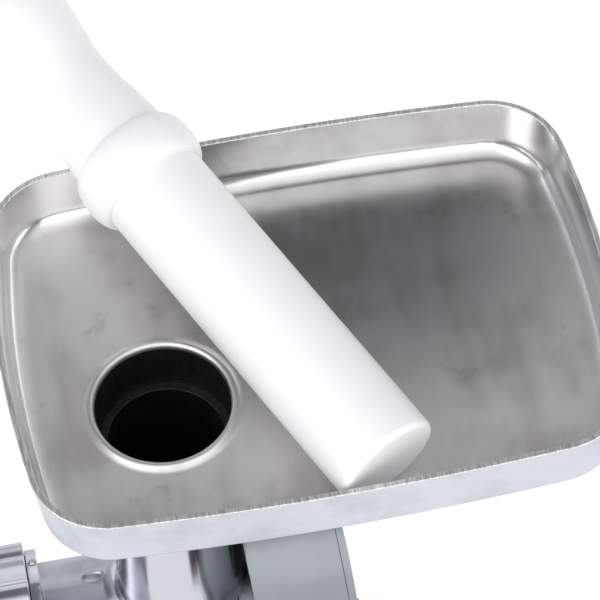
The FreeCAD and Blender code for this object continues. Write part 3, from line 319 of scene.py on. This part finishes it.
finishes = {
    "polished_aluminium": polishedAluminiumPaintedShade(),
    "cast_aluminium": tumbledCastAluminium(),
    # tower castings, buffed to an even cool satin
    "satin_aluminium": workedSurface("aluminiumSatin", 1.0, ("#979ca1", "#8b9197"), 0.38, 60, 0.7, depth=0.012),
    # milling lines on the parts inside
    "machined_aluminium": workedSurface("aluminiumMilled", 1.0, ("#c9cbce", "#b6b9bd"), 0.32, 18, 0.8, (1,
                                        0.1, 1)),
    # bright screws with a faint yellow passivation
    "zinc_plated_steel": workedSurface("steelZincPlated", 1.0, ("#bfc4ca", "#a9a79a"), 0.30, 12, 0.6),
    "ground_steel": workedSurface("steelGround", 1.0, ("#b9bbbf", "#a3a5a9"), 0.24, 18, 0.5, (1, 0.08, 1)),
    "cast_steel": workedSurface("steelTinnedCasting", 1.0, ("#c4c5c8", "#9b9da1"), 0.40, 14, 1.2, depth=0.08),
    # thin stacked sheets show as close lines round the core
    "lamination_steel": workedSurface("steelLaminated", 1.0, ("#6f737a", "#565a61"), 0.42, 18, 0.5, (1,
                                      0.02, 0.02)),
    "enamelled_copper": workedSurface("copperEnamelledWire", 1.0, ("#a8562a", "#7d3c1c"), 0.28, 12, 0.9,
                                      (1, 0.1, 0.1), 0.2),
    "bronze": workedSurface("bronzeSintered", 1.0, ("#b08850", "#8f6b3b"), 0.45, 10, 0.4, depth=0.03),
    "rubber": workedSurface("rubberMoulded", 0.0, ("#1d1d1e", "#2b2b2c"), 0.62, 12, 0.5, ior=1.52),
    "white_plastic": whitePolypropylene(),
    # spark-eroded grain, paler where hands rub it
    "black_plastic": workedSurface("absGrainedBlack", 0.0, ("#17181a", "#222427"), 0.44, 12, 0.6, ior=1.5),
    "green_plastic": workedSurface("polycarbonateMouldedGreen", 0.0, ("#1f8f4c", "#2c9c58"), 0.26, 12, 1.5,
                                   ior=1.58),
    "red_plastic": workedSurface("polycarbonateMouldedRed", 0.0, ("#b3201c", "#bf302b"), 0.28, 12, 1.5,
                                 ior=1.58)}
rimFinish = groundRimAluminium()
outsideFinish = linishedAluminium()
# the spigot and the bore below stay as cast and rough; their dark colour is painted shade inside the bore
borePaintedShadeFinish = workedSurface("aluminiumAsCastBorePaintedShade", 1.0, ("#4b4947", "#2e2d2c"), 0.55, 9, 1.4, depth=0.1)
slotOf = {part["node"]: part["material_slot"] for part in frame["record"]["subparts"]}


def dressNodes():
    for name, node in frame["nodes"].items():
        node.data.materials.clear()
        node.data.materials.append(finishes[slotOf[name]])
    print("materials on", len(frame["nodes"]), "CAD nodes")


def only(thing):
    if bpy.context.object and bpy.context.object.mode != "OBJECT":
        bpy.ops.object.mode_set(mode="OBJECT")
    bpy.ops.object.select_all(action="DESELECT")
    thing.select_set(True)
    bpy.context.view_layer.objects.active = thing


def edit(thing, chosen="SELECT"):
    only(thing)
    bpy.ops.object.mode_set(mode="EDIT")
    bpy.ops.mesh.select_all(action=chosen)


def leave():
    bpy.ops.object.mode_set(mode="OBJECT")


def applyPlace(thing):
    only(thing)
    bpy.ops.object.transform_apply(location=True, rotation=True, scale=True)


def cleanNormals(thing, gap=0.01 * mm):
    edit(thing)
    bpy.ops.mesh.remove_doubles(threshold=gap)
    bpy.ops.mesh.normals_make_consistent(inside=False)
    leave()


def smooth(thing, angle=35):
    only(thing)
    bpy.ops.object.shade_smooth_by_angle(angle=math.radians(angle))


def applyModifier(thing, kind, **settings):
    only(thing)
    modifier = thing.modifiers.new(kind.lower(), kind)
    for key, value in settings.items():
        setattr(modifier, key, value)
    bpy.ops.object.modifier_apply(modifier=modifier.name)


def cutWith(thing, tool, operation="DIFFERENCE"):
    applyModifier(thing, "BOOLEAN", object=tool, operation=operation, solver="EXACT")
    bpy.data.objects.remove(tool)


def turnedRing(name, sections, steps, closed=False, capStart=False, capEnd=False):
    # sections are (height, radius) along Z: a circle is extruded and scaled from one to the next
    height, radius = sections[0]
    bpy.ops.mesh.primitive_circle_add(vertices=steps, radius=radius, location=(0, 0, height),
                                      fill_type="NGON" if capStart else "NOTHING")
    thing = bpy.context.object
    thing.name = name
    thing.data.name = name
    applyPlace(thing)
    edit(thing)
    for nextHeight, nextRadius in sections[1:]:
        bpy.ops.mesh.extrude_edges_move(TRANSFORM_OT_translate={"value": (0, 0, nextHeight - height)})
        grow = nextRadius / radius
        bpy.ops.transform.resize(value=(grow, grow, 1))
        height, radius = nextHeight, nextRadius
    if capEnd:
        bpy.ops.mesh.edge_face_add()
    leave()
    if closed:
        edit(thing, "DESELECT")
        bpy.ops.mesh.select_non_manifold()
        bpy.ops.mesh.bridge_edge_loops()
        leave()
    return thing


def weldedCopy(node, name):
    # the CAD shell as one clean mesh
    only(frame["nodes"][node])
    bpy.ops.object.duplicate()
    piece = bpy.context.object
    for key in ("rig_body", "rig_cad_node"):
        if key in piece:
            del piece[key]
    piece.parent = None
    piece.name = name
    piece.data.name = name
    edit(piece)
    bpy.ops.mesh.remove_doubles(threshold=0.002 * mm)
    bpy.ops.mesh.dissolve_limited(angle_limit=math.radians(0.4))
    leave()
    return piece


def breakEdges(piece, width, angle=32, segments=2):
    # sharp edges broken as on the real piece, with the flats kept flat in the light
    applyModifier(piece, "BEVEL", width=width * mm, segments=segments, limit_method="ANGLE",
                  angle_limit=math.radians(angle), use_clamp_overlap=False)
    smooth(piece, 38)
    applyModifier(piece, "WEIGHTED_NORMAL", keep_sharp=True, weight=100)


def finishPiece(piece, body, slot, *nodes):
    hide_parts(*nodes)
    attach(piece, body)
    return piece


tray = {"bowLong": 3.8, "bowShort": 4.8, "corner": 40, "rim": 3.2, "draft": 4 / 37, "depth": 37, "floor": 4,
        "fillet": 11, "underFillet": 3, "edge": 0.45, "burr": 0.06, "cornerSteps": 36, "longSteps": 100,
        "shortSteps": 76, "lipOuter": 42.5, "hole": 34.6, "spigot": 37.8, "spigotDrop": 46, "holeSteps": 128}


def trayOutline():
    # one quarter corner and one bowed side at a time, anticlockwise, in mm about the tray's centre
    halfX = (trayHigh.x - trayLow.x) / 2 / mm - tray["bowShort"] - tray["corner"]
    halfY = (trayHigh.y - trayLow.y) / 2 / mm - tray["bowLong"] - tray["corner"]
    sides = [(halfX, halfY, tray["bowShort"], halfY, tray["shortSteps"]),
             (halfX, halfY, tray["bowLong"], halfX, tray["longSteps"])]
    points = []
    for quarter in range(4):
        x, y, bow, half, steps = sides[quarter % 2]
        radius = (half * half + bow * bow) / (2 * bow)
        lean = math.asin(half / radius)
        nextBow, nextHalf = sides[(quarter + 1) % 2][2:4]
        nextLean = math.asin(nextHalf / ((nextHalf * nextHalf + nextBow * nextBow) / (2 * nextBow)))
        reach = (x if quarter % 2 == 0 else y) + bow - radius
        run = []
        for i in range(steps):
            angle = -lean + 2 * lean * i / steps
            run.append((reach + (radius + tray["corner"]) * math.cos(angle),
                        (radius + tray["corner"]) * math.sin(angle)))
        cornerX, cornerY = (x, y) if quarter % 2 == 0 else (y, x)
        for i in range(tray["cornerSteps"]):
            angle = lean + (math.pi / 2 - nextLean - lean) * i / tray["cornerSteps"]
            run.append((cornerX + tray["corner"] * math.cos(angle), cornerY + tray["corner"] * math.sin(angle)))
        turn = math.pi / 2 * quarter
        for u, v in run:
            points.append((u * math.cos(turn) - v * math.sin(turn), u * math.sin(turn) + v * math.cos(turn)))
    return points


def bowlProfile(inset, height, radius, steps):
    # (inset, height) below the rim, down a leaning wall and round a fillet to the flat, in mm
    slope = tray["draft"]
    lean = math.atan(slope)
    centre = inset + (height - radius) * slope + radius / math.cos(lean)
    points = []
    for i in range(steps + 1):
        angle = lean + (math.pi / 2 - lean) * i / steps
        points.append((centre - radius * math.cos(angle), -height + radius - radius * math.sin(angle)))
    points.append((centre + 1.2, -height))
    return points


def insetDown(piece, profile):
    # the one big face that is selected is inset and dropped, ring by ring
    edit(piece)
    inset, height = profile[0]
    for nextInset, nextHeight in profile[1:]:
        bpy.ops.mesh.inset(thickness=(nextInset - inset) * mm, depth=(nextHeight - height) * mm,
                           use_even_offset=True)
        inset, height = nextInset, nextHeight
    leave()


def trayDish(name, profile):
    outline = trayOutline()
    bpy.ops.mesh.primitive_circle_add(vertices=len(outline), radius=tray["corner"] * mm, fill_type="NGON",
                                      location=(0, 0, 0))
    dish = bpy.context.object
    dish.name = name
    for vertex, (x, y) in zip(dish.data.vertices, outline):
        vertex.co = (trayCentre.x + x * mm, trayCentre.y + y * mm, trayCentre.z - tray["edge"] * mm)
    edit(dish)
    bpy.ops.mesh.normals_make_consistent(inside=False)
    leave()
    if dish.data.polygons[0].normal.z < 0:
        edit(dish)
        bpy.ops.mesh.flip_normals()
        leave()
    insetDown(dish, [(0, -tray["edge"])] + profile)
    return dish


def burrEdges(piece):
    # a fine uneven burr left on both edges of the ground rim
    chance = random.Random(11)
    for vertex in piece.data.vertices:
        if vertex.co.z > trayHigh.z - tray["edge"] * 1.2 * mm:
            vertex.co.z += chance.uniform(-1, 0.1) * tray["burr"] * mm * 0.4
            vertex.co.x += chance.uniform(-0.5, 0.5) * tray["burr"] * mm
            vertex.co.y += chance.uniform(-0.5, 0.5) * tray["burr"] * mm


def makeTray():
    edge = tray["edge"]
    inner = [(edge, 0), (tray["rim"] - edge, 0), (tray["rim"], -edge)]
    inner += [(tray["rim"] + 4 * tray["draft"], -4), (tray["rim"] + 14 * tray["draft"], -14)]
    inner += bowlProfile(tray["rim"], tray["depth"] - tray["floor"], tray["fillet"], 12)
    outer = [(8 * tray["draft"], -8), (20 * tray["draft"], -20)]
    outer += bowlProfile(0, tray["depth"], tray["underFillet"], 6)
    piece = trayDish("feedTray", inner)
    under = trayDish("feedTrayUnder", outer)
    only(piece)
    under.select_set(True)
    bpy.ops.object.join()
    cleanNormals(piece)

    floorZ = trayHigh.z - (tray["depth"] - tray["floor"]) * mm
    underZ = trayHigh.z - tray["depth"] * mm
    bpy.ops.mesh.primitive_cylinder_add(vertices=tray["holeSteps"], radius=tray["lipOuter"] * mm, depth=0.05,
                                        location=(throatX, 0, floorZ))
    cutWith(piece, bpy.context.object)
    hole, lip, spigot = (tray[k] for k in ("hole", "lipOuter", "spigot"))
    # the cut leaves a wall between floor and underside, where the welded collar goes
    edit(piece, "DESELECT")
    bpy.ops.mesh.select_mode(type="FACE")
    leave()
    for face in piece.data.polygons:
        face.select = (abs(face.normal.z) < 0.5
                       and math.hypot(face.center.x - throatX, face.center.y) < (lip + 0.5) * mm)
    bpy.ops.object.mode_set(mode="EDIT")
    bpy.ops.mesh.delete(type="FACE")
    bpy.ops.mesh.select_mode(type="VERT")
    leave()

    top = floorZ / mm
    low = underZ / mm
    lipLine = [(top, lip), (top, lip - 0.7), (top + 0.15, lip - 1.7), (top + 0.55, lip - 2.6),
               (top + 1.15, lip - 3.4), (top + 1.65, lip - 4.1), (top + 1.95, lip - 4.9), (top + 2.0, lip - 5.6),
               (top + 1.85, lip - 6.3), (top + 1.45, lip - 6.95), (top + 0.85, lip - 7.45), (top, lip - 7.75),
               (top - 1.2, hole), (top - tray["spigotDrop"] + 0.6, hole), (top - tray["spigotDrop"], hole + 0.6),
               (top - tray["spigotDrop"], spigot - 0.6), (top - tray["spigotDrop"] + 0.6, spigot),
               (low - 4.0, spigot), (low - 2.2, spigot + 0.35), (low - 0.9, spigot + 1.2), (low - 0.2, spigot + 2.6),
               (low, lip - 0.7), (low, lip)]
    collar = turnedRing("feedTrayCollar", [(h * mm, r * mm) for h, r in lipLine], tray["holeSteps"])
    collar.location = (throatX, 0, 0)
    applyPlace(collar)
    only(piece)
    collar.select_set(True)
    bpy.ops.object.join()
    cleanNormals(piece, 0.02 * mm)
    burrEdges(piece)
    piece.data.materials.clear()
    for finish in (finishes["polished_aluminium"], rimFinish, outsideFinish, borePaintedShadeFinish):
        piece.data.materials.append(finish)
    for face in piece.data.polygons:
        away = Vector((face.center.x - trayCentre.x, face.center.y - trayCentre.y, 0))
        fromHole = math.hypot(face.center.x - throatX, face.center.y)
        if face.center.z > trayHigh.z - 0.8 * mm and face.normal.z > 0.6:
            face.material_index = 1
        elif fromHole > lip * mm + 1e-4 and (face.normal.dot(away) > 0 and face.normal.z < 0.5
                                             or face.center.z < floorZ - 2 * mm):
            face.material_index = 2
        elif face.center.z < floorZ - 3 * mm and fromHole > (hole + 0.3) * mm:
            face.material_index = 2
        # faces inside the hole below the floor get the dark bore finish, painted shade
        elif face.center.z < floorZ - 3 * mm:
            face.material_index = 3
    smooth(piece, 30)
    print("feed tray:", len(piece.data.polygons), "faces, open edges", openEdges(piece))
    return finishPiece(piece, "tray", "polished_aluminium", "feed_tray")


def openEdges(piece):
    count = {}
    for face in piece.data.polygons:
        for key in face.edge_keys:
            count[key] = count.get(key, 0) + 1
    return sum(1 for n in count.values() if n != 2)


pusher = {"radius": 27.6, "body": 190.5, "ring": 27, "ringRadius": 33.3, "handle": 112, "waist": 23.6,
          "waistAt": 46, "head": 29, "endRound": 3.2, "dish": 0.7, "turn": 117.2, "lean": 8.128,
          "tipX": 24, "tipY": -96.8, "lift": 0.4, "steps": 128, "dome": 16}


def makePusher():
    radius, body, ring = (pusher[k] for k in ("radius", "body", "ring"))
    end = body + ring + pusher["handle"]
    sections = [(pusher["dish"], radius * 0.02), (pusher["dish"], radius * 0.45),
                (pusher["dish"] * 0.5, radius * 0.72), (0.05, radius * 0.84)]
    sections += [(pusher["endRound"] * (1 - math.sin(math.radians(a))),
                  radius - pusher["endRound"] * (1 - math.cos(math.radians(a)))) for a in range(88, -1, -11)]
    sections += [(body * part, radius) for part in (0.1, 0.3, 0.5, 0.7, 0.9, 0.985)]
    swell = pusher["ringRadius"] - radius
    for i in range(0, 21):
        angle = math.pi * i / 20
        sections.append((body + ring / 2 - ring / 2 * math.cos(angle),
                         radius + swell * math.sin(angle) ** 0.85 - 0.3 * i / 20))
    dome = pusher["dome"]
    grip = pusher["handle"] - dome
    for i in range(1, 31):
        along = grip * i / 30
        if along < pusher["waistAt"]:
            part = along / pusher["waistAt"]
            wide = radius - 0.3 + (pusher["waist"] - radius + 0.3) * part * part * (3 - 2 * part)
        else:
            part = (along - pusher["waistAt"]) / (grip - pusher["waistAt"])
            wide = pusher["waist"] + (pusher["head"] - pusher["waist"]) * part * part * (3 - 2 * part)
        sections.append((body + ring + along, wide))
    for angle in range(9, 89, 8):
        turn = math.radians(angle)
        sections.append((end - dome + dome * math.sin(turn), pusher["head"] * math.cos(turn) ** 0.75))
    sections = [(s * mm, r * mm) for s, r in sections]
    piece = turnedRing("pusherRod", sections, pusher["steps"], capStart=True, capEnd=True)
    lean, turn = math.radians(pusher["lean"]), math.radians(pusher["turn"])
    heading = Vector((math.cos(turn) * math.cos(lean), math.sin(turn) * math.cos(lean), math.sin(lean)))
    floorZ = trayHigh.z - (tray["depth"] - tray["floor"]) * mm
    tip = Vector((trayCentre.x + pusher["tipX"] * mm, trayCentre.y + pusher["tipY"] * mm,
                  floorZ + (radius * math.cos(lean) + pusher["lift"]) * mm))
    piece.rotation_mode = "QUATERNION"
    piece.rotation_quaternion = heading.to_track_quat("Z", "Y")
    piece.location = tip
    applyPlace(piece)
    cleanNormals(piece)
    piece.data.materials.clear()
    piece.data.materials.append(finishes["white_plastic"])
    smooth(piece, 30)
    print("pusher:", len(piece.data.polygons), "faces, open edges", openEdges(piece))
    return finishPiece(piece, "pusher", "white_plastic", "pusher")


nut = {"edge": 1.0}


def makeRingNut():
    piece = weldedCopy("ring_nut", "ringNutCasting")
    breakEdges(piece, nut["edge"], segments=3)
    piece.data.materials.clear()
    piece.data.materials.append(finishes["cast_aluminium"])
    print("ring nut:", len(piece.data.polygons), "faces, open edges", openEdges(piece))
    return finishPiece(piece, "ring_nut", "cast_aluminium", "ring_nut")


head = {"edge": 0.5, "bore": 31.2, "boreStart": 20, "barrel": 43, "dimpleX": -71.4, "dimpleTurn": -13.3,
        "dimple": (6.2, 4.4, 1.8), "collar": 51, "stubX": -102.6, "stubTurn": -27.5, "stub": 2.2,
        "stubHeight": 2.6}


def makeHead():
    piece = weldedCopy("head_casting", "headCasting")
    # a shallow oval mark on the barrel and a short gate stub on the collar, both left by the mould
    turn = math.radians(head["dimpleTurn"])
    bpy.ops.mesh.primitive_uv_sphere_add(segments=40, ring_count=20, radius=mm, scale=head["dimple"],
                                         rotation=(turn, 0, 0),
                                         location=(head["dimpleX"] * mm, -head["barrel"] * mm * math.sin(turn),
                                                   barrelZ + head["barrel"] * mm * math.cos(turn)))
    applyPlace(bpy.context.object)
    cutWith(piece, bpy.context.object)
    turn = math.radians(head["stubTurn"])
    bpy.ops.mesh.primitive_cylinder_add(vertices=32, radius=head["stub"] * mm, depth=head["stubHeight"] * mm,
                                        rotation=(turn, 0, 0),
                                        location=(head["stubX"] * mm, -head["collar"] * mm * math.sin(turn),
                                                  barrelZ + head["collar"] * mm * math.cos(turn)))
    applyPlace(bpy.context.object)
    cutWith(piece, bpy.context.object, "UNION")
    breakEdges(piece, head["edge"])
    piece.data.materials.clear()
    piece.data.materials.append(finishes["cast_aluminium"])
    piece.data.materials.append(borePaintedShadeFinish)
    # faces inside the throat's bore get the dark bore finish, painted shade
    for face in piece.data.polygons:
        fromThroat = math.hypot(face.center.x - throatX, face.center.y)
        if fromThroat < head["bore"] * mm and face.center.z > barrelZ + head["boreStart"] * mm:
            face.material_index = 1
    print("head:", len(piece.data.polygons), "faces, open edges", openEdges(piece))
    return finishPiece(piece, "head", "cast_aluminium", "head_casting")


softened = [("body_casting", "towerCasting", "housing", 0.6), ("rear_cover", "rearCover", "housing", 0.4),
            ("base_plate", "basePlate", "housing", 0.5), ("rubber_feet", "rubberFeet", "housing", 0.8),
            ("socket_flange", "socketFlange", "housing", 0.5), ("inlet_shroud", "inletShroud", "housing", 0.5),
            ("power_switch_frame", "powerSwitchFrame", "housing", 0.6),
            ("reverse_switch_frame", "reverseSwitchFrame", "housing", 0.6),
            ("overload_breaker", "overloadBreaker", "housing", 0.4),
            ("power_rocker", "powerRocker", "power_rocker", 0.5),
            ("reverse_rocker", "reverseRocker", "reverse_rocker", 0.5),
            ("reset_button", "resetButton", "reset_button", 0.7), ("lock_grip", "lockGrip", "lock_screw", 1.6)]


def makeSoftened():
    for node, name, body, edge in softened:
        piece = weldedCopy(node, name)
        breakEdges(piece, edge)
        piece.data.materials.clear()
        piece.data.materials.append(finishes[slotOf[node]])
        finishPiece(piece, body, slotOf[node], node)
        print(name, len(piece.data.polygons), "faces, open edges", openEdges(piece))


studio = {"paper": "#b4b4b5", "paperGlow": 0.68, "nearSide": "#ffffff", "low": "#a6a8ab", "high": "#6c6e71",
          "skyPower": 1.4, "keyPower": 6, "fillPower": 2, "floorSize": 60}


def makeStudio():
    bpy.ops.mesh.primitive_plane_add(size=studio["floorSize"], location=(0, 0, 0))
    floor = bpy.context.object
    floor.name = "studioFloor"
    material, _, shader, _ = startMaterial("paperSweep", 0.0, 0.9, studio["paper"])
    shader.inputs["Emission Color"].default_value = (1, 1, 1, 1)
    shader.inputs["Emission Strength"].default_value = studio["paperGlow"]
    floor.data.materials.append(material)

    # a bright wall on the camera's side and a dimmer one behind the machine, which the dish reflects
    world = bpy.data.worlds.new("studio")
    bpy.context.scene.world = world
    world.use_nodes = True
    tree = world.node_tree
    background = tree.nodes["Background"]
    direction = addNode(tree, "ShaderNodeTexCoord").outputs["Generated"]
    parts = addNode(tree, "ShaderNodeSeparateXYZ", None, {"Vector": direction})
    behind = addNode(tree, "ShaderNodeMapRange",
                     {"interpolation_type": "SMOOTHSTEP", "From Min": -0.3, "From Max": 0.3},
                     {"Value": parts.outputs["Y"]})
    climb = addNode(tree, "ShaderNodeMapRange",
                    {"interpolation_type": "SMOOTHSTEP", "From Min": 0.35, "From Max": 0.7},
                    {"Value": parts.outputs["Z"]})
    farSide = addNode(tree, "ShaderNodeMix",
                      {"data_type": "RGBA", 6: linear(studio["low"]), 7: linear(studio["high"])},
                      {0: climb}).outputs[2]
    sky = addNode(tree, "ShaderNodeMix", {"data_type": "RGBA", 6: linear(studio["nearSide"])},
                  {0: behind, 7: farSide}).outputs[2]
    tree.links.new(sky, background.inputs["Color"])
    background.inputs["Strength"].default_value = studio["skyPower"]

    for name, spot, size, power in (("key", (-1.1, -0.6, 1.6), 1.0, studio["keyPower"]),
                                    ("fill", (1.3, -0.9, 1.3), 1.2, studio["fillPower"]),
                                    ("back", (0.3, 1.6, 1.1), 1.0, studio["fillPower"])):
        lamp = bpy.data.lights.new(name, "AREA")
        lamp.size = size
        lamp.energy = power
        light = bpy.data.objects.new(name, lamp)
        light.location = spot
        light.rotation_mode = "QUATERNION"
        light.rotation_quaternion = (Vector(spot) - trayCentre).to_track_quat("Z", "Y")
        bpy.context.scene.collection.objects.link(light)
    bpy.context.scene.view_settings.view_transform = "Standard"


makeCamera()
dressNodes()
makeTray()
makePusher()
makeRingNut()
makeHead()
makeSoftened()
makeStudio()
